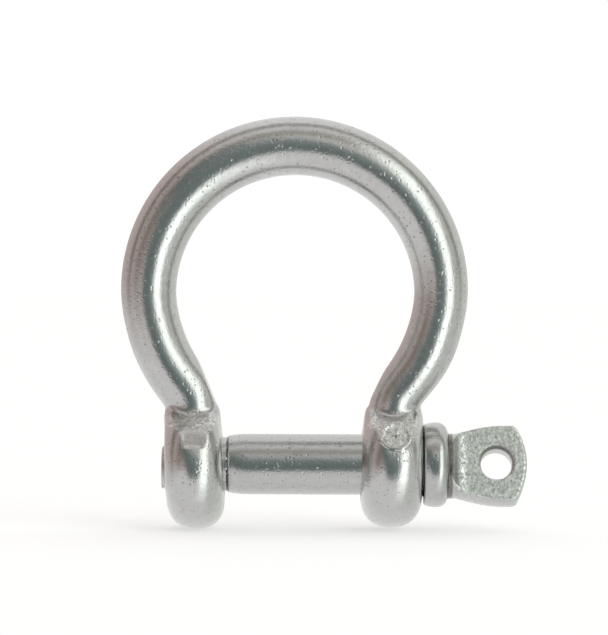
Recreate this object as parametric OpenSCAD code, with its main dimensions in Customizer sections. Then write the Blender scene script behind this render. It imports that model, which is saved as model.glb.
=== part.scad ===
// Bow shackle: a forged bow with a tapped ear and a plain ear, and a forged screw pin across its jaw.
// X runs along the pin towards its head, Z runs up to the crown of the bow, and Y runs across the bar.
// The origin is on the axis of the pin, midway between the two ears. Millimetres.

/* [Bow] */
// Diameter of the round bar that the bow is bent from
bar_d = 7.5; // [7:0.1:7.9]
// Clear width inside the bow at its widest
bow_w = 31.2; // [30:0.2:33]
// From the axis of the pin up to the inside of the crown
crown_h = 38.3; // [36:0.5:42]
// How far each limb leans in towards its ear, in degrees from upright
lean = 35; // [32:1:37]
// Centre-line radius of the bend that turns each limb upright above its ear
bend_r = 8; // [6:0.5:9]

/* [Ears] */
// Clear width of the jaw between the ears
jaw_w = 18.1; // [17.5:0.1:19]
// Thickness of each ear along the pin
ear_t = 7.9; // [7.6:0.1:8.4]
// Outside diameter of each ear round the pin
ear_d = 17.1; // [16.4:0.1:18]
// Diameter of the plain hole in the ear next to the head
plain_hole_d = 9.1; // [8.6:0.1:9.4]

/* [Screw pin] */
// Diameter of the shank across the jaw
pin_d = 8; // [7.6:0.1:8.2]
// Thread size, which is the diameter over the crests of the thread
thread_d = 8; // [7.6:0.1:8]
// Distance between one turn of the thread and the next
thread_pitch = 1.25; // [1:0.25:1.25]
// How far the tip stands out of the tapped ear
tip_proud = 0.6; // [0.2:0.1:1.5]

/* [Collar] */
// Diameter of the collar that stops against the plain ear
collar_d = 11.3; // [10.6:0.1:12.4]
// Thickness of the collar
collar_t = 3.1; // [2.6:0.1:3.4]
// Gap left between the collar and the ear
collar_gap = 0.3; // [0.2:0.05:0.5]

/* [Eye] */
// Width of the flattened eye across its widest part
eye_w = 10.6; // [9.8:0.1:11.2]
// Thickness of the flattened eye
eye_t = 4; // [3.6:0.1:4.4]
// Length of the eye from the collar to its end
eye_l = 10.4; // [10:0.1:11.4]
// Diameter of the hole for seizing wire or a key
eye_hole_d = 4.1; // [3.8:0.1:4.6]
// Angle by which the eye is turned up about the pin when the pin is tight
eye_turn = 20; // [0:5:45]

/* [Hidden] */
$fn = 96;
eps = 0.5;

// The ring is the wide round part of the bow, and stays a true arc down to where the limbs lean in.
ring_r = (bow_w + bar_d) / 2;
ring_z = crown_h + bar_d / 2 - ring_r;
ring_end = [ring_r * cos(lean), ring_z - ring_r * sin(lean)];
ear_x = (jaw_w + ear_t) / 2;
bend_top_x = ear_x + bend_r * (1 - cos(lean));
limb_drop = (ring_end[0] - bend_top_x) / tan(lean);
limb_l = limb_drop / cos(lean);
bend_z = ring_end[1] - limb_drop - bend_r * sin(lean);

// The bar thins a little at each stretch towards the ear, and each stretch is seated inside the last.
limb_d = bar_d - 0.06;
bend_d = limb_d - 0.06;
seat = 0.5;
seat_angle = seat / bend_r * 180 / PI;

// Each ear is a bar bent round the hole, so its rim is half of a torus.
rim_r = ear_t / 2;
rim_ring_r = (ear_d - ear_t) / 2;
shoulder_d = 7;
shoulder_top_z = bend_z + 2.5;
shoulder_spread = asin(rim_ring_r / shoulder_top_z);
shoulder_l = shoulder_top_z * cos(shoulder_spread);

// The thread is a plain cylinder at its pitch diameter, and the tapped hole runs round it.
thread_depth = 0.6134 * thread_pitch;
pitch_d = thread_d - thread_depth - 0.04;
thread_clearance = 0.05;
tapped_hole_d = pitch_d + 2 * thread_clearance;

// Places along the pin, from its tip to its head.
tip_x = -jaw_w / 2 - ear_t - tip_proud;
tip_chamfer = 0.75;
thread_start_x = -jaw_w / 2 + 0.35;
taper_end_x = -jaw_w / 2 + 3.1;
plain_ear_x = jaw_w / 2;
collar_x = jaw_w / 2 + ear_t + collar_gap;
neck_x = collar_x + collar_t;
head_end_x = neck_x + eye_l;
shoulder_d_at_thread = pin_d - 0.6;
draft = 0.12;

// The collar, the round neck behind it and the root of the eye.
collar_round = 1.1;
neck_d = 8.8;
neck_l = 0.9;
root_l = 2.2;

// The eye's outline is three arcs: two long sides that swell to the widest part, and a bowed end.
widest_x = head_end_x - 3;
side_arc_r = 23;
end_arc_r = 9.4;
hole_x = head_end_x - 4.1;

// A round bar bent through an arc that lies in the XZ plane, measured from +X towards +Z.
module bent_bar(ring, bar, from, sweep) {
    rotate([90, 0, 0])
        rotate([0, 0, from])
            rotate_extrude(angle = sweep)
                translate([ring, 0])
                    circle(d = bar);
}

// A solid of revolution about X, from an outline of [distance along X, radius] points.
module turned(points) {
    rotate([0, 90, 0])
        rotate_extrude()
            polygon([for (p = points) [p[1], p[0]]]);
}

// The leaning limb and the bend into the ear, on the +X side.
module limb() {
    translate([ring_end[0], 0, ring_end[1]])
        rotate([0, 180 + lean, 0])
            translate([0, 0, -seat])
                cylinder(d = limb_d, h = limb_l + seat);
    translate([ear_x + bend_r, 0, bend_z])
        bent_bar(bend_r, bend_d, 180 - lean - seat_angle, lean + seat_angle);
}

// An ear on the +X side: the round rim about the pin, and two shoulders that close up to the bar.
module ear() {
    translate([ear_x, 0, 0])
        rotate([0, 90, 0])
            rotate_extrude() {
                translate([0, -rim_r])
                    square([rim_ring_r, ear_t]);
                translate([rim_ring_r, 0])
                    circle(r = rim_r);
            }
    for (side = [-1, 1])
        translate([ear_x, 0, shoulder_top_z])
            rotate([180 + side * shoulder_spread, 0, 0])
                cylinder(d = shoulder_d, h = shoulder_l);
}

// A hole through one ear, along the pin. side is 1 for the plain ear and -1 for the tapped one.
module ear_hole(side, d) {
    translate([side * ear_x - ear_t / 2 - eps, 0, 0])
        rotate([0, 90, 0])
            cylinder(d = d, h = ear_t + 2 * eps);
}

module bow() {
    color("silver")
        difference() {
            union() {
                translate([0, 0, ring_z])
                    bent_bar(ring_r, bar_d, -lean, 180 + 2 * lean);
                for (side = [0, 1])
                    mirror([side, 0, 0]) {
                        limb();
                        ear();
                    }
            }
            ear_hole(1, plain_hole_d);
            ear_hole(-1, tapped_hole_d);
        }
}

// The plain shank. It tapers in to the thread, and swells a little inside the plain ear towards the collar.
module pin_shank() {
    color("gainsboro")
        turned([
            [thread_start_x, 0],
            [thread_start_x, shoulder_d_at_thread / 2],
            [taper_end_x, pin_d / 2],
            [plain_ear_x, pin_d / 2],
            [collar_x, pin_d / 2 + draft],
            [collar_x, 0]
        ]);
}

// The threaded end, with a chamfered tip.
module pin_thread() {
    color("gainsboro")
        turned([
            [tip_x, 0],
            [tip_x, pitch_d / 2 - tip_chamfer],
            [tip_x + tip_chamfer, pitch_d / 2],
            [thread_start_x, pitch_d / 2],
            [thread_start_x, 0]
        ]);
}

// The collar, with rounded rims.
module collar() {
    translate([collar_x, 0, 0])
        rotate([0, 90, 0])
            rotate_extrude() {
                square([collar_d / 2 - collar_round, collar_t]);
                translate([0, collar_round])
                    square([collar_d / 2, collar_t - 2 * collar_round]);
                for (rim = [collar_round, collar_t - collar_round])
                    translate([collar_d / 2 - collar_round, rim])
                        circle(r = collar_round);
            }
}

// Flat outline of the eye, in the plane of the pin's axis.
module eye_outline() {
    intersection() {
        intersection_for(side = [-1, 1])
            translate([widest_x, side * (side_arc_r - eye_w / 2)])
                circle(r = side_arc_r);
        translate([head_end_x - end_arc_r, 0])
            circle(r = end_arc_r);
        translate([neck_x, -eye_w])
            square([eye_l + eps, 2 * eye_w]);
    }
}

// The head: collar, round neck, a root that flattens into the eye, and the hole across the eye.
module pin_head() {
    color("gainsboro")
        difference() {
            union() {
                collar();
                turned([
                    [neck_x - eps, 0],
                    [neck_x - eps, neck_d / 2],
                    [neck_x + neck_l, neck_d / 2],
                    [neck_x + neck_l + root_l, eye_t / 2],
                    [neck_x + neck_l + root_l, 0]
                ]);
                rotate([90 - eye_turn, 0, 0])
                    translate([0, 0, -eye_t / 2])
                        linear_extrude(eye_t)
                            eye_outline();
            }
            rotate([90 - eye_turn, 0, 0])
                translate([hole_x, 0, -eye_t])
                    cylinder(d = eye_hole_d, h = 2 * eye_t);
        }
}

bow();
pin_shank();
pin_thread();
pin_head();
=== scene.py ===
"""A forged stainless bow shackle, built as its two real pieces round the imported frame.

Both pieces are solids of the same kind: a field gives the distance to the surface in millimetres, a mesh is
drawn where the field is zero, and every vertex is then moved onto the field and takes its normal from it.
X runs along the pin towards its head, Z runs up to the crown of the bow, and the origin is midway in the jaw.
"""
import math

import bpy
import numpy as np
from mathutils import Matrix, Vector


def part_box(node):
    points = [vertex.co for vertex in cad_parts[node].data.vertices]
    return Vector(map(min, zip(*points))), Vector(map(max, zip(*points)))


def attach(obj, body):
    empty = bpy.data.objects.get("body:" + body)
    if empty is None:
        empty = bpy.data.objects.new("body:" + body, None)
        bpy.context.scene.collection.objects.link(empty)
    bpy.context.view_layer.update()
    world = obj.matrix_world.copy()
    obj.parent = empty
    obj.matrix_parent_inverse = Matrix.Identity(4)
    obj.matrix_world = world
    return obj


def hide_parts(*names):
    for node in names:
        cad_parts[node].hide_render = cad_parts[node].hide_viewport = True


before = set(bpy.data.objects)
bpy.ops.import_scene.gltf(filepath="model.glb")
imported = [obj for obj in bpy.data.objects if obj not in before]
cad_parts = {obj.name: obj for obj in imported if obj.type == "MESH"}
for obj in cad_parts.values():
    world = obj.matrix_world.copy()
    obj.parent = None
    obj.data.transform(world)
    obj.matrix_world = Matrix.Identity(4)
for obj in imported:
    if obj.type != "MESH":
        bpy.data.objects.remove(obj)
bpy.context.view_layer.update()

import openvdb
from mathutils import Matrix, Vector

MM = 0.001


# ---------------------------------------------------------------- sizes, in millimetres

def node_box(name):
    """Lowest and highest corners of a CAD node, in millimetres."""
    low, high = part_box(name)
    return low / MM, high / MM


bow_low, bow_high = node_box("bow")
thread_low, thread_high = node_box("pin_thread")
head_low, head_high = node_box("pin_head")
shank_high = node_box("pin_shank")[1]

# The bow: a round bar in a ring, thicker at the crown, that leans in and turns sharply down into each ear.
BAR_R = 3.6
CROWN_SWELL = 0.27
SIDE_UNEVEN = 0.05
RING_X = 0.08
RING_INSET = 0.18
CROWN_PROUD = 0.13
RING_R = bow_high.x - BAR_R - RING_INSET
RING_Z = bow_high.z - BAR_R - CROWN_SWELL - RING_R + CROWN_PROUD
LEAN = math.radians(38)
BEND_R = 4.5

# The two ears differ a little, as forgings do. For each: where the bar stands on it, how much the limb above
# it is drawn in and thinned, its middle plane and how far that leans out going up, half its thickness, its
# radius, the place and slope of the trim inside the limb, its inner face, and the depth of its pressed flat.
TAPPED_EAR = {"upright_x": 13.4, "inset": 0.17, "thinning": 0.08, "middle": 13.05, "lean": 0.03, "half": 3.8,
              "radius": 8.66, "trim_x": 10.33, "trim_slope": 0.413, "inner_x": 9.3, "flat_depth": 0.38}
PLAIN_EAR = {"upright_x": 13.2, "inset": 0.22, "thinning": 0.42, "middle": 12.97, "lean": 0.02, "half": 4.03,
             "radius": 8.36, "trim_x": 9.84, "trim_slope": 0.477, "inner_x": 8.67, "flat_depth": 0.27}
TRIM_Z = 8.1
NECK_BLEND = 0.7

# Each ear's outline is a circle drawn up to a small one, and its rim is a little squarer than round.
EAR_PEAK_Z, EAR_PEAK_R = 5.2, 0.15
RIM_POWER = 2.2
EAR_TOP_Z = 7.6
SHOULDER_RISE, SHOULDER_DEPTH = math.radians(60), 1.0
INNER_SLOPE, INNER_Z = 0.16, 2.5

# The flat pressed high on the front and back of each ear is a short patch on the tapped one.
FLAT_RISE = math.radians(31)
PATCH_HALF_W, PATCH_SHIFT, PATCH_REACH = 1.7, 0.35, 2.0

# The round pad on the front of the plain ear has a raised rim round a shallow dish.
PAD_X, PAD_Y, PAD_Z, PAD_R = 13.3, -6.9, 4.15, 2.15
PAD_SINK, PAD_HALF_T = 0.10, 0.6
DISH_RIM, DISH_DEPTH = 0.55, 0.11

# The holes.
PLAIN_HOLE_R, BROKEN_EDGE = 4.55, 0.25
TAPPED_CORE_R, COUNTERSINK_R, THREAD_GAP = 3.33, 4.25, 0.06

# The threaded end of the pin, whose chamfered tip is turned a little off centre.
TIP_X = thread_low.x + 0.15
TIP_R, TIP_DROP = 2.75, 0.6
THREAD_END_X = thread_high.x - 0.1
PITCH = 1.25
THREAD_R, THREAD_DEPTH = 3.95, 0.767
CORE_R, RUN_OUT_R, RUN_OUT_GAP = 3.45, 3.55, 0.5

# The shank tapers in to the thread and swells a little inside the plain ear.
PIN_R = 4.0
SHANK_X = THREAD_END_X + 0.05
TAPER, TAPER_LEAD, TAPER_LENGTH = 0.36, 0.3, 3.2
DRAFT, DRAFT_X = 0.12, 9.0
SHANK_EDGE = 0.25

# The collar, and the eye that is pressed flat from a round blank.
COLLAR_X = shank_high.x
COLLAR_R, COLLAR_REACH = 5.61, 0.14
CROWN_X, CROWN_R = 1.45, 4.2
NECK_X = COLLAR_X + 3.15
NECK_R = 4.29
HEAD_END_X = head_high.x
HEAD_END_R = 9.4
EYE_R, EYE_WIDEN_X, EYE_WIDEN_LENGTH = 5.37, 1.0, 6.3
EYE_DROP = 0.17
EYE_TURN = math.radians(20)
EYE_HALF_T = 2.0
SCOOP_R, SCOOP_X = 2.3, 2.65
EYE_HOLE_R = 2.04
EYE_HOLE_X = HEAD_END_X - 4.0
HOLE_FLARE, FLARE_FROM = 0.31, 0.6

# The mesh, and the floor just under the ears.
BOW_VOXEL, PIN_VOXEL = 0.25, 0.17
MARGIN = 1.0
NEWTON_STEPS = 5
FAR = 1e3
FLOOR_GAP = 0.02


# ---------------------------------------------------------------- fields

def smooth_step(value, start, end):
    """0 at start and 1 at end, with an eased slope between them."""
    t = np.clip((value - start) / (end - start), 0, 1)
    return t * t * (3 - 2 * t)


def smooth_min(a, b, k):
    """The nearer of two fields, blended over k."""
    h = np.clip(0.5 + 0.5 * (b - a) / k, 0, 1)
    return b * (1 - h) + a * h - k * h * (1 - h)


def smooth_max(a, b, k):
    """Cuts field a down to field b, with an edge rounded over k."""
    return -smooth_min(-a, -b, k)


def segment_distance(x, z, start, end):
    """Distance in a plane from points (x, z) to a straight line between two points."""
    ux, uz = end[0] - start[0], end[1] - start[1]
    t = np.clip(((x - start[0]) * ux + (z - start[1]) * uz) / (ux * ux + uz * uz), 0, 1)
    return np.hypot(x - start[0] - t * ux, z - start[1] - t * uz)


def uneven_capsule(y, z, low_r, high_r, height):
    """Distance to a flat drop shape: a circle at the origin, drawn up to a smaller one at height."""
    y = np.abs(y)
    b = (low_r - high_r) / height
    a = math.sqrt(1 - b * b)
    k = a * z - b * y
    low = np.hypot(y, z) - low_r
    high = np.hypot(y, z - height) - high_r
    side = a * y + b * z - low_r
    return np.where(k < 0, low, np.where(k > a * height, high, side))


def bar_field(x, y, z, side):
    """The bent bar of the bow, on one side of the middle plane."""
    ax = np.abs(x - RING_X * smooth_step(z, 5, 13))
    ax = ax + side["inset"] * smooth_step(z, RING_Z + 1, RING_Z - 6) * smooth_step(z, 6, 9)
    upright_x = side["upright_x"]
    ring_end = (RING_R * math.cos(LEAN), RING_Z - RING_R * math.sin(LEAN))
    corner_z = ring_end[1] - (ring_end[0] - upright_x) / math.tan(LEAN)
    reach = BEND_R * math.tan(LEAN / 2)
    bend_z = corner_z - reach
    bend_top = (upright_x + reach * math.sin(LEAN), corner_z + reach * math.cos(LEAN))

    angle = np.arctan2(z - RING_Z, ax)
    swell = CROWN_SWELL * np.clip(np.sin(angle), 0, 1) - SIDE_UNEVEN * x / RING_R
    swell = swell - side["thinning"] * smooth_step(z, 15, 7)
    ring = np.abs(np.hypot(ax, z - RING_Z) - RING_R)
    ring = np.where(angle >= -LEAN, ring, FAR)
    limb = segment_distance(ax, z, ring_end, bend_top)
    middle_x = upright_x + BEND_R
    turn = np.arctan2(z - bend_z, middle_x - ax)
    bend = np.abs(np.hypot(ax - middle_x, z - bend_z) - BEND_R)
    bend = np.where((turn >= 0) & (turn <= LEAN), bend, FAR)
    upright = segment_distance(ax, z, (upright_x, bend_z), (side["middle"], 0))
    middle = np.minimum(np.minimum(ring, limb), np.minimum(bend, upright))
    return np.hypot(middle, y) - BAR_R - swell


def ear_field(ax, y, z, side):
    """A thick disc with a full round rim that slopes up to the bar, with a pressed flat front and back."""
    radius, half = side["radius"], side["half"]
    drop = uneven_capsule(y, z, radius - half, EAR_PEAK_R, EAR_PEAK_Z)
    from_middle = ax - side["middle"] - side["lean"] * z
    rim = np.maximum(drop, 0) ** RIM_POWER + np.abs(from_middle) ** RIM_POWER
    ear = rim ** (1 / RIM_POWER) - half
    slope = np.abs(y) * math.cos(SHOULDER_RISE) + z * math.sin(SHOULDER_RISE)
    ear = smooth_max(ear, slope - radius + SHOULDER_DEPTH, 0.4)
    inner = side["inner_x"] + INNER_SLOPE * (z - INNER_Z) - ax
    ear = smooth_max(ear, inner, 0.3)
    flat = np.abs(y) * math.cos(FLAT_RISE) + z * math.sin(FLAT_RISE) - radius + side["flat_depth"]
    if side is TAPPED_EAR:
        up = z * math.cos(FLAT_RISE) - np.abs(y) * math.sin(FLAT_RISE)
        patch = smooth_min(PATCH_HALF_W - np.abs(from_middle + PATCH_SHIFT), up + PATCH_REACH, 0.5)
        ear = smooth_max(ear, smooth_min(flat, patch, 0.5), 0.3)
    else:
        ear = smooth_max(ear, flat, 0.15)
    return smooth_max(ear, z - EAR_TOP_Z, 0.5)


def pad_field(bow, x, y, z):
    """Adds a small round pad, with an uneven raised rim, to the front of the plain ear."""
    out = z * math.sin(FLAT_RISE) - y * math.cos(FLAT_RISE)
    up = (z - PAD_Z) * math.cos(FLAT_RISE) + (y - PAD_Y) * math.sin(FLAT_RISE)
    turn = np.arctan2(up, x - PAD_X)
    uneven = 1 + 0.03 * np.sin(3 * turn + 1.0) + 0.02 * np.sin(7 * turn)
    aside = np.hypot(x - PAD_X, up) * uneven
    top = PLAIN_EAR["radius"] - PAD_SINK + 0.04 * np.sin(5 * turn + 2.0)
    pad = smooth_max(aside - PAD_R, np.abs(out - top + PAD_HALF_T) - PAD_HALF_T, 0.22)
    bow = smooth_min(bow, pad, 0.2)
    dish = smooth_max(aside - PAD_R + DISH_RIM, top - DISH_DEPTH - out, 0.16)
    return smooth_max(bow, -dish, 0.16)


def thread_crest(x, y, z, base_r, depth):
    """Radius of a right-hand thread at these points: crests at base_r, with 60 degree flanks."""
    phase = x / PITCH - np.arctan2(z, y) / (2 * math.pi)
    from_crest = np.abs(phase - np.round(phase)) * PITCH
    return base_r - np.clip((from_crest - PITCH / 16) * math.sqrt(3), 0, depth)


def half_bow(x, y, z, side):
    """One limb of the bow with its ear and hole."""
    ax = np.abs(x)
    trim_slope = side["trim_slope"]
    trim = (side["trim_x"] + trim_slope * (z - TRIM_Z) - ax) / math.hypot(1, trim_slope)
    trim = np.where((z > 5) & (z < 15), trim, -1.0)
    bar = smooth_max(bar_field(x, y, z, side), trim, 0.15)
    bow = smooth_min(bar, ear_field(ax, y, z, side), NECK_BLEND)
    face_gap = side["half"] - np.abs(ax - side["middle"])
    if side is PLAIN_EAR:
        bow = pad_field(bow, x, y, z)
        hole = PLAIN_HOLE_R + np.clip(BROKEN_EDGE - face_gap, 0, 0.3)
    else:
        hole = np.maximum(TAPPED_CORE_R, thread_crest(x, y, z, THREAD_R, THREAD_DEPTH) + THREAD_GAP)
        hole = np.maximum(hole, COUNTERSINK_R - face_gap)
    cut = np.where((ax > 5) & (z < 6), hole - np.hypot(y, z), -FAR)
    return smooth_max(bow, cut, 0.12)


def bow_field(x, y, z):
    x, y, z = np.broadcast_arrays(x, y, z)
    field = np.empty(x.shape)
    for side, here in ((TAPPED_EAR, x < 0), (PLAIN_EAR, x >= 0)):
        field[here] = half_bow(x[here], y[here], z[here], side)
    return field


def shank_profile(x):
    """Radius of the plain shank at each x."""
    t = np.clip((x - SHANK_X + TAPER_LEAD) / TAPER_LENGTH, 0, 1)
    shank = PIN_R - TAPER * (1 - t) ** 2
    shank = shank + DRAFT * np.clip((x - DRAFT_X) / (COLLAR_X - DRAFT_X), 0, 1)
    edge = np.clip(SHANK_EDGE - (x - SHANK_X), 0, SHANK_EDGE)
    return shank - edge ** 2 * 2


def collar_field(x, r):
    """The stop collar: a crowned rim, sharper on the ear's side."""
    crown = np.hypot(x - COLLAR_X - CROWN_X, r - (COLLAR_R - CROWN_R)) - CROWN_R
    collar = smooth_max(crown, COLLAR_X - COLLAR_REACH - x, 0.3)
    return smooth_max(collar, x - NECK_X, 1.4)


def eye_field(x, y, z):
    """The head: a turned blank pressed flat on two sides, with a scooped root and a punched hole."""
    c, s = math.cos(EYE_TURN), math.sin(EYE_TURN)
    z = z + EYE_DROP
    w = -y * c + z * s
    v = y * s + z * c
    widen = np.sin(np.clip((x - NECK_X - EYE_WIDEN_X) / EYE_WIDEN_LENGTH, 0, 1) * math.pi / 2)
    blank = np.hypot(v, w) - NECK_R - (EYE_R - NECK_R) * widen
    rise = np.clip(NECK_X + SCOOP_X - x, 0, SCOOP_R * 0.995)
    fall = np.sqrt(SCOOP_R ** 2 - rise ** 2)
    flats = (np.abs(w) - EYE_HALF_T - SCOOP_R + fall) * fall / SCOOP_R
    end = np.hypot(x - (HEAD_END_X - HEAD_END_R), v) - HEAD_END_R
    eye = smooth_max(smooth_max(blank, flats, 0.17), end, 0.5)
    eye = np.maximum(eye, NECK_X - 1 - x)
    flare = HOLE_FLARE * smooth_step(np.abs(w), FLARE_FROM, EYE_HALF_T)
    return smooth_max(eye, EYE_HOLE_R + flare - np.hypot(x - EYE_HOLE_X, v), 0.15)


def pin_field(x, y, z):
    """The whole pin: shank, thread, the core that joins them, collar and eye."""
    r = np.hypot(y, z)
    shank = np.maximum(r - shank_profile(x), np.maximum(SHANK_X - x, x - COLLAR_X - 1))
    core = np.maximum(r - CORE_R, np.maximum(SHANK_X - 1.5 - x, x - SHANK_X - 0.5))
    run_out = np.clip((THREAD_END_X - 0.4 - x) / PITCH, 0, 1) * THREAD_DEPTH
    crest = thread_crest(x, y, z, THREAD_R, run_out)
    crest = np.minimum(crest, RUN_OUT_R + np.clip(THREAD_END_X - RUN_OUT_GAP - x, 0, 1))
    thread = np.maximum(r - crest, np.maximum(TIP_X - x, x - THREAD_END_X))
    chamfer = (np.hypot(y, z + TIP_DROP) - TIP_R - (x - TIP_X)) * math.sqrt(0.5)
    thread = smooth_max(thread, chamfer, 0.15)
    turned = np.minimum(np.minimum(shank, core), thread)
    turned = smooth_min(turned, collar_field(x, r), 0.2)
    return np.minimum(turned, eye_field(x, y, z))


# ---------------------------------------------------------------- meshes

def gradient(field, points, step=0.002):
    """Slope of the field at each point, by central differences."""
    slope = np.empty_like(points)
    for axis in range(3):
        shift = np.zeros(3)
        shift[axis] = step
        high, low = points + shift, points - shift
        slope[:, axis] = (field(*high.T) - field(*low.T)) / (2 * step)
    return slope


def mesh_from_field(name, field, low, high, voxel, max_step=0.25):
    """A closed quad mesh on the zero of a field, with its normals taken from the field."""
    low, high = [a - MARGIN for a in low], [b + MARGIN for b in high]
    counts = [int(math.ceil((b - a) / voxel)) + 1 for a, b in zip(low, high)]
    axes = [a + voxel * np.arange(n) for a, n in zip(low, counts)]
    values = np.empty(counts, np.float32)
    for i, x in enumerate(axes[0]):
        y, z = np.meshgrid(axes[1], axes[2], indexing="ij")
        values[i] = field(np.full_like(y, x), y, z)
    band = 3 * voxel
    grid = openvdb.FloatGrid(band)
    grid.copyFromArray(np.clip(values, -band, band))
    points, quads = grid.convertToQuads(isovalue=0.0)
    points = points.astype(float) * voxel + np.array(low)

    for _ in range(NEWTON_STEPS):
        slope = gradient(field, points)
        size = np.maximum((slope ** 2).sum(1), 0.05)
        move = -slope * (field(*points.T) / size)[:, None]
        length = np.linalg.norm(move, axis=1, keepdims=True)
        points += move * np.minimum(1, max_step * voxel / np.maximum(length, 1e-9))
    normals = gradient(field, points)
    normals /= np.maximum(np.linalg.norm(normals, axis=1, keepdims=True), 1e-9)

    quads = quads.astype(np.int64)
    corner = points[quads]
    facing = np.cross(corner[:, 2] - corner[:, 0], corner[:, 3] - corner[:, 1])
    if (facing * normals[quads[:, 0]]).sum() < 0:
        quads = quads[:, ::-1]

    mesh = bpy.data.meshes.new(name)
    mesh.vertices.add(len(points))
    mesh.vertices.foreach_set("co", (points * MM).astype(np.float32).ravel())
    mesh.loops.add(quads.size)
    mesh.loops.foreach_set("vertex_index", quads.astype(np.int32).ravel())
    mesh.polygons.add(len(quads))
    mesh.polygons.foreach_set("loop_start", np.arange(0, quads.size, 4, dtype=np.int32))
    mesh.polygons.foreach_set("use_smooth", np.ones(len(quads), bool))
    mesh.update(calc_edges=True)
    mesh.validate()
    mesh.normals_split_custom_set_from_vertices(normals.astype(np.float32).tolist())
    piece = bpy.data.objects.new(name, mesh)
    bpy.context.scene.collection.objects.link(piece)
    return piece


# ---------------------------------------------------------------- materials

class Nodes:
    """Short calls that add nodes to a tree and link them. A value is a number, a colour or a socket."""

    def __init__(self, tree):
        self.tree = tree

    def add(self, kind, inputs=None, **settings):
        node = self.tree.nodes.new(kind)
        for key, value in settings.items():
            setattr(node, key, value)
        for key, value in (inputs or {}).items():
            self.put(node, key, value)
        return node

    def put(self, node, key, value):
        if isinstance(value, bpy.types.NodeSocket):
            self.tree.links.new(value, node.inputs[key])
        else:
            node.inputs[key].default_value = value

    def math(self, operation, *values):
        return self.add("ShaderNodeMath", dict(enumerate(values)), operation=operation).outputs[0]

    def times(self, a, b):
        return self.math("MULTIPLY", a, b)

    def most(self, a, b):
        return self.math("MAXIMUM", a, b)

    def hypotenuse(self, a, b):
        return self.math("SQRT", self.math("ADD", self.times(a, a), self.times(b, b)))

    def mix(self, factor, a, b, how="MIX"):
        node = self.add("ShaderNodeMix", data_type="RGBA", blend_type=how)
        for socket, value in ((0, factor), (6, a), (7, b)):
            self.put(node, socket, (*value, 1) if isinstance(value, tuple) else value)
        return node.outputs[2]

    def split(self, vector):
        return self.add("ShaderNodeSeparateXYZ", {0: vector}).outputs[:]

    def ramp(self, value, stops, smooth=False):
        """A colour ramp; each stop is (position, grey or colour)."""
        node = self.add("ShaderNodeValToRGB", {0: value})
        band = node.color_ramp
        band.interpolation = "EASE" if smooth else "LINEAR"
        while len(band.elements) < len(stops):
            band.elements.new(0.5)
        for element, (position, shade) in zip(band.elements, stops):
            element.position = position
            element.color = (*shade, 1) if isinstance(shade, tuple) else (shade, shade, shade, 1)
        return node.outputs[0]

    def scaled_ramp(self, value, low, high, stops, smooth=False):
        """A ramp over a value that runs from low to high, with its stops in the value's own units."""
        scaled = self.math("DIVIDE", self.math("SUBTRACT", value, low), high - low)
        return self.ramp(scaled, [((at - low) / (high - low), shade) for at, shade in stops], smooth)

    def noise(self, place, scale, detail, rough=0.55):
        return self.add("ShaderNodeTexNoise", {"Vector": place, "Scale": scale, "Detail": detail,
                                               "Roughness": rough}).outputs["Fac"]

    def ball(self, place, centre, radius, soft):
        """1 inside a ball, fading to 0 over soft millimetres outside it."""
        far = self.add("ShaderNodeVectorMath", {0: place, 1: [c * MM for c in centre]}, operation="DISTANCE")
        return self.ramp(self.times(far.outputs["Value"], 1 / (2 * radius * MM)),
                         [(0.5, 1.0), (min(0.5 + soft / (2 * radius), 1.0), 0.0)])

    def band(self, value, low, high, soft):
        """1 between two places in millimetres, fading out over soft millimetres outside them."""
        middle, half = (low + high) / 2, (high - low) / 2
        off = self.math("ABSOLUTE", self.math("SUBTRACT", value, middle * MM))
        return self.ramp(self.times(off, 0.5 / (half * MM)),
                         [(0.5, 1.0), (min(0.5 + soft / (2 * half), 1.0), 0.0)])


def bow_wear(nodes, place):
    """Where the bow is left as forged, and where a dark line is drawn.

    It is rough on the front and back of each neck, on the pressed patch and on the round pad. A faint broken
    dark line runs along the top of each neck.
    """
    _, y, z = nodes.split(place)
    ragged_by = 0.9 * MM
    ragged = nodes.math("MULTIPLY_ADD", nodes.noise(place, 900, 2), 2 * ragged_by, -ragged_by)
    front_and_back = nodes.scaled_ramp(nodes.math("ABSOLUTE", y), 0, 10 * MM,
                                       [(3.5 * MM, 0.0), (4.6 * MM, 1.0)])
    neck = nodes.times(nodes.band(nodes.math("ADD", z, ragged), 5.3, 6.9, 0.3), front_and_back)
    pad = nodes.times(nodes.ball(place, (PAD_X, -5.9, PAD_Z), 2.3, 0.4), 0.6)
    patch = nodes.ball(place, (-TAPPED_EAR["middle"] + 0.3, -6.9, 4.1), 1.8, 0.8)
    frosted = nodes.most(nodes.most(neck, pad), nodes.times(patch, 0.1))
    broken = nodes.ramp(nodes.noise(place, 1500, 3, 0.7), [(0.50, 0.0), (0.62, 0.5)])
    return frosted, nodes.times(nodes.band(z, 6.55, 7.0, 0.35), broken)


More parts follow.
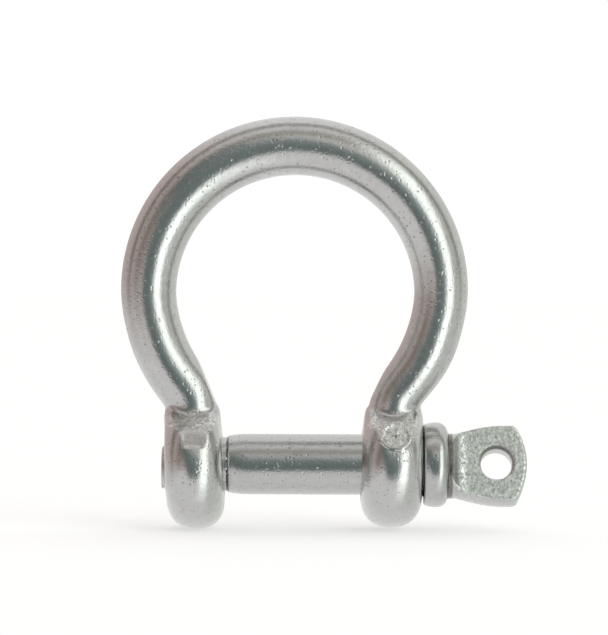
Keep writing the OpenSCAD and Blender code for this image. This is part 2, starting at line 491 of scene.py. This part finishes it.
def pin_frost_and_painted_shade(nodes, place):
    """Where the pin is frosted, on the flats of the eye, and where shade is painted dark: a band on the neck
    next to the collar and a ring on the chamfer of the hole.
    """
    x, y, z = nodes.split(place)
    c, s = math.cos(EYE_TURN), math.sin(EYE_TURN)
    z = nodes.math("ADD", z, EYE_DROP * MM)
    w = nodes.math("SUBTRACT", nodes.times(z, s), nodes.times(y, c))
    v = nodes.math("ADD", nodes.times(y, s), nodes.times(z, c))
    flats = nodes.scaled_ramp(nodes.math("ABSOLUTE", w), 0, 10 * MM, [(1.83 * MM, 0.15), (1.95 * MM, 0.9)])
    past_neck = nodes.math("SUBTRACT", x, NECK_X * MM)
    frosted = nodes.times(flats, nodes.scaled_ramp(past_neck, 0, 10 * MM, [(1 * MM, 0.0), (1.6 * MM, 1.0)]))
    # Painted shade: a dark band across the neck where it leaves the collar, between the collar and the eye.
    painted_neck_shade = nodes.times(nodes.band(x, NECK_X - 0.05, NECK_X + 0.4, 0.2), 0.85)
    # Painted shade: a dark ring on the chamfer round the eye's hole.
    along = nodes.math("SUBTRACT", x, EYE_HOLE_X * MM)
    from_hole = nodes.hypotenuse(v, along)
    rim = nodes.times(nodes.band(from_hole, EYE_HOLE_R + 0.1, EYE_HOLE_R + 0.26, 0.12), 0.9)
    return frosted, nodes.most(painted_neck_shade, rim)


def steel(name, tint, rough_tint, roughness, frosting_and_dark_marks):
    """Polished forged stainless steel: soft waves, fine grain and specks, places left rough, and dark marks,
    which on the pin are painted shade.
    """
    material = bpy.data.materials.new(name)
    material.use_nodes = True
    nodes = Nodes(material.node_tree)
    shader = material.node_tree.nodes["Principled BSDF"]
    place = nodes.add("ShaderNodeTexCoord").outputs["Object"]
    # The second mask is a broken dark line on the bow and painted shade on the pin, at its neck and round its
    # hole.
    frosted, dark_marks_and_painted_shade = frosting_and_dark_marks(nodes, place)
    waves = nodes.noise(place, 240, 1)
    dimples = nodes.noise(place, 1100, 2)
    grain = nodes.noise(place, 3600, 3, 0.7)
    cells = nodes.add("ShaderNodeTexVoronoi", {"Vector": place, "Scale": 2100}, feature="F1").outputs
    chosen = nodes.ramp(nodes.add("ShaderNodeSeparateColor", {0: cells["Color"]}).outputs[0],
                        [(0.58, 0.0), (0.85, 1.0)])
    specks = nodes.times(nodes.ramp(cells["Distance"], [(0.12, 1.0), (0.38, 0.0)]), chosen)
    pits = nodes.ramp(nodes.noise(place, 2600, 4, 0.75), [(0.34, 1.0), (0.50, 0.0)])
    pits = nodes.times(pits, frosted)

    colour = nodes.mix(dimples, tuple(0.90 * c for c in tint), tuple(1.10 * c for c in tint))
    patches = nodes.ramp(nodes.noise(place, 2300, 4, 0.75), [(0.38, 0.55), (0.62, 1.12)])
    colour = nodes.mix(frosted, colour, nodes.mix(1.0, patches, rough_tint, "MULTIPLY"))
    dark = nodes.most(nodes.times(specks, 0.42), nodes.times(pits, 0.35))
    # Specks, pits and those dark marks, painted shade among them, pull the colour towards a dark brown-grey.
    colour = nodes.mix(nodes.most(dark, dark_marks_and_painted_shade), colour, (0.16, 0.15, 0.14))

    grain_spread = 0.14
    rough = nodes.math("MULTIPLY_ADD", grain, grain_spread, roughness - grain_spread / 2)
    rough = nodes.math("ADD", rough, nodes.times(frosted, 0.17))

    height = nodes.math("ADD", nodes.times(waves, 0.45), nodes.times(dimples, 0.16))
    height = nodes.math("ADD", height, nodes.times(grain, 0.2))
    height = nodes.math("SUBTRACT", height, nodes.times(specks, 0.26))
    height = nodes.math("SUBTRACT", height, nodes.times(pits, 0.4))
    bump = nodes.add("ShaderNodeBump", {"Height": height, "Strength": 0.6, "Distance": 0.2 * MM})

    shader.inputs["Metallic"].default_value = 1.0
    nodes.put(shader, "Base Color", colour)
    nodes.put(shader, "Roughness", rough)
    nodes.put(shader, "Normal", bump.outputs["Normal"])
    return material


# ---------------------------------------------------------------- stage, light and camera

def build_floor(height):
    """A wide pale floor that takes a soft shadow but does not show in the steel."""
    mesh = bpy.data.meshes.new("floor")
    edge = 3.0
    corners = [(-edge, -edge, height), (edge, -edge, height), (edge, edge, height), (-edge, edge, height)]
    mesh.from_pydata(corners, [], [(0, 1, 2, 3)])
    floor = bpy.data.objects.new("floor", mesh)
    bpy.context.scene.collection.objects.link(floor)
    floor.visible_glossy = False
    material = bpy.data.materials.new("pale_table")
    material.use_nodes = True
    shader = material.node_tree.nodes["Principled BSDF"]
    shader.inputs["Base Color"].default_value = (0.82, 0.82, 0.82, 1)
    shader.inputs["Roughness"].default_value = 0.9
    shader.inputs["Specular IOR Level"].default_value = 0.0
    shader.inputs["Emission Color"].default_value = (1, 1, 1, 1)
    shader.inputs["Emission Strength"].default_value = 0.45
    mesh.materials.append(material)


def build_world():
    """The studio as the steel sees it, drawn on a map of degrees right of and above the lens.

    It is dark round the lens and up to its left, pale below, banded above and browner to the upper left,
    with one tall soft window on the right. It is plain white where the camera sees it directly.
    """
    world = bpy.data.worlds.new("studio")
    bpy.context.scene.world = world
    world.use_nodes = True
    nodes = Nodes(world.node_tree)
    direction = nodes.add("ShaderNodeTexCoord").outputs["Generated"]
    x, y, z = nodes.split(direction)
    angle = nodes.math("ARCCOSINE", nodes.times(y, -1.0))
    away = nodes.most(nodes.math("SINE", angle), 0.001)
    from_lens = nodes.times(angle, 180 / math.pi)
    rightward, upward = nodes.math("DIVIDE", x, away), nodes.math("DIVIDE", z, away)
    right, up = nodes.times(rightward, from_lens), nodes.times(upward, from_lens)

    above = nodes.scaled_ramp(from_lens, 0, 180, [
        (0, 0.60), (34, 0.68), (42, (0.62, 0.60, 0.55)), (49, (0.40, 0.39, 0.34)), (57, (0.48, 0.47, 0.43)),
        (68, 0.78), (80, 0.84), (86, (0.37, 0.36, 0.33)), (95, (0.42, 0.41, 0.38)), (102, 0.95), (180, 0.95)])
    below = nodes.scaled_ramp(from_lens, 0, 180, [
        (0, 0.80), (60, 0.86), (100, 0.84), (112, 0.90), (180, 1.0)])
    room = nodes.mix(nodes.scaled_ramp(upward, -1, 1, [(-0.35, 0.0), (0.25, 1.0)]), below, above)
    brown = nodes.times(nodes.scaled_ramp(rightward, -1, 1, [(-0.75, 1.0), (-0.25, 0.0)]),
                        nodes.scaled_ramp(upward, -1, 1, [(-0.40, 0.0), (0.05, 1.0)]))
    room = nodes.mix(brown, room, nodes.mix(1.0, room, (0.66, 0.57, 0.55), "MULTIPLY"))
    green = nodes.scaled_ramp(rightward, -1, 1, [(0.2, 0.0), (0.8, 1.0)])
    room = nodes.mix(green, room, nodes.mix(1.0, room, (0.85, 0.88, 0.84), "MULTIPLY"))

    # The dark round the lens has a ragged edge, and an oval arm that reaches to its upper left.
    ragged = nodes.times(nodes.math("SUBTRACT", nodes.noise(direction, 7, 4, 0.65), 0.5), 18.0)
    disc = nodes.scaled_ramp(nodes.math("ADD", from_lens, ragged), 0, 180, [(19, 1.0), (27, 0.0)])
    slant = math.radians(130)
    middle, half_length, half_width = 28.0, 30.0, 17.0
    along = nodes.math("ADD", nodes.times(right, math.cos(slant)), nodes.times(up, math.sin(slant)))
    along = nodes.math("DIVIDE", nodes.math("SUBTRACT", along, middle), half_length)
    across = nodes.math("ADD", nodes.times(right, math.sin(slant)), nodes.times(up, -math.cos(slant)))
    across = nodes.math("DIVIDE", across, half_width)
    arm = nodes.scaled_ramp(nodes.hypotenuse(along, across), 0, 2, [(0.7, 1.0), (1.15, 0.0)])
    mottle = nodes.ramp(nodes.noise(direction, 11, 3, 0.7), [
        (0.36, (0.09, 0.11, 0.11)), (0.52, (0.16, 0.20, 0.195)), (0.66, (0.40, 0.46, 0.45))])
    to_upper_right = nodes.math("ADD", nodes.times(up, 0.6), right)
    lighter = nodes.scaled_ramp(to_upper_right, -90, 90, [(-6, 0.0), (24, 0.75)])
    mottle = nodes.mix(lighter, mottle, (0.44, 0.50, 0.48))
    room = nodes.mix(nodes.most(disc, arm), room, mottle)

    # The window leans out to the right below the lens.
    lean = nodes.times(nodes.math("MINIMUM", up, 0.0), 0.3)
    side = nodes.scaled_ramp(nodes.math("SUBTRACT", right, lean), 0, 90,
                             [(18, 0.0), (32, 1.0), (48, 1.0), (60, 0.0)], smooth=True)
    tall = nodes.scaled_ramp(up, -90, 90, [(-72, 0.0), (-40, 0.45), (-22, 1.0), (40, 1.0), (62, 0.0)])
    window = nodes.times(nodes.times(side, tall), 1.35)
    lit = nodes.mix(1.0, room, nodes.mix(1.0, window, (0.95, 1.03, 1.0), "MULTIPLY"), "ADD")
    seen = nodes.add("ShaderNodeLightPath").outputs["Is Camera Ray"]
    nodes.put(world.node_tree.nodes["Background"], "Color", nodes.mix(seen, lit, (1.05, 1.05, 1.05)))


def build_camera():
    """The camera looks along +Y from a little above the middle, rolled a quarter of a degree."""
    width, height = 608, 635
    px_per_mm, distance = 7.57, 400.0
    rise, roll = math.radians(1.0), math.radians(0.245)
    target = Vector((1.288, 0, 19.405))
    back = Vector((0, -math.cos(rise), math.sin(rise)))
    data = bpy.data.cameras.new("camera")
    data.sensor_width = 36
    data.lens = px_per_mm * distance * data.sensor_width / max(width, height)
    data.clip_start, data.clip_end = 0.01, 20
    camera = bpy.data.objects.new("camera", data)
    bpy.context.scene.collection.objects.link(camera)
    turn = (-back).to_track_quat("-Z", "Y").to_matrix() @ Matrix.Rotation(roll, 3, "Z")
    camera.matrix_world = Matrix.Translation((target + back * distance) * MM) @ turn.to_4x4()
    bpy.context.scene.camera = camera


# ---------------------------------------------------------------- the shackle

bow = mesh_from_field("bow_forging", bow_field, bow_low, bow_high, BOW_VOXEL)
bow.data.materials.append(steel("forged_steel", (0.585, 0.58, 0.57), (1.0, 0.99, 0.96), 0.13, bow_wear))
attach(bow, "bow")
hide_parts("bow")

pin_low = [thread_low.x, head_low.y, head_low.z]
pin = mesh_from_field("screw_pin", pin_field, pin_low, head_high, PIN_VOXEL)
pin.data.materials.append(steel("turned_steel", (0.54, 0.54, 0.53), (0.84, 0.88, 0.84), 0.14, pin_frost_and_painted_shade))
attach(pin, "screw_pin")
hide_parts("pin_shank", "pin_thread", "pin_head")

build_floor((bow_low.z - FLOOR_GAP) * MM)
build_world()
build_camera()
bpy.context.scene.view_settings.view_transform = "Standard"
